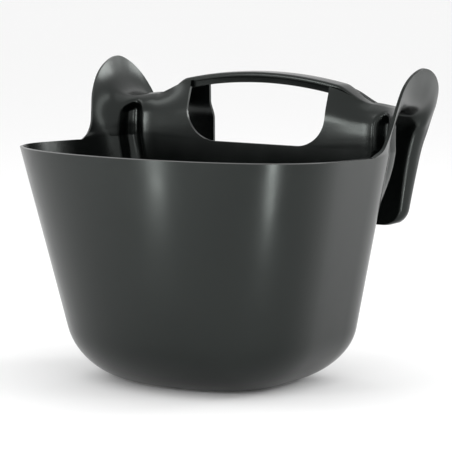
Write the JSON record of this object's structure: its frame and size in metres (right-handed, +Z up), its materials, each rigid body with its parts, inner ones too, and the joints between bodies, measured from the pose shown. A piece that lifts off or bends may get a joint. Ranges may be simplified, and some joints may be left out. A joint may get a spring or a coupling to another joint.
{
  "type": "hook-over feed bucket",
  "caption": "Bow-front plastic feed bucket that hooks over a fence or door board, with a hand grip between its hooks",
  "frame": {"origin": "on the floor, under the middle of the whole part's length and depth", "axes": "+Z up, bowed front of the bowl towards -Y, hooks towards +Y, the part is mirror-symmetric about X = 0"},
  "size_m": [0.38, 0.3096, 0.3123],
  "materials": {
    "shell": "satin-gloss moulded plastic, anthracite",
    "floor": "satin-gloss moulded plastic, anthracite",
    "grip": "satin-gloss moulded plastic, anthracite"
  },
  "bodies": {
    "root": {"base_dish": "floor", "handle_bar": "grip", "front_wall": "shell", "side_wall_right": "shell", "side_wall_left": "shell", "back_wall": "shell", "panel_right": "shell", "panel_left": "shell", "ear_right": "shell", "ear_left": "shell", "hook_saddle_right": "shell", "hook_saddle_left": "shell", "hook_leg_right": "shell", "hook_leg_left": "shell", "rear_fin_right": "shell", "rear_fin_left": "shell"}
  },
  "joints": []
}
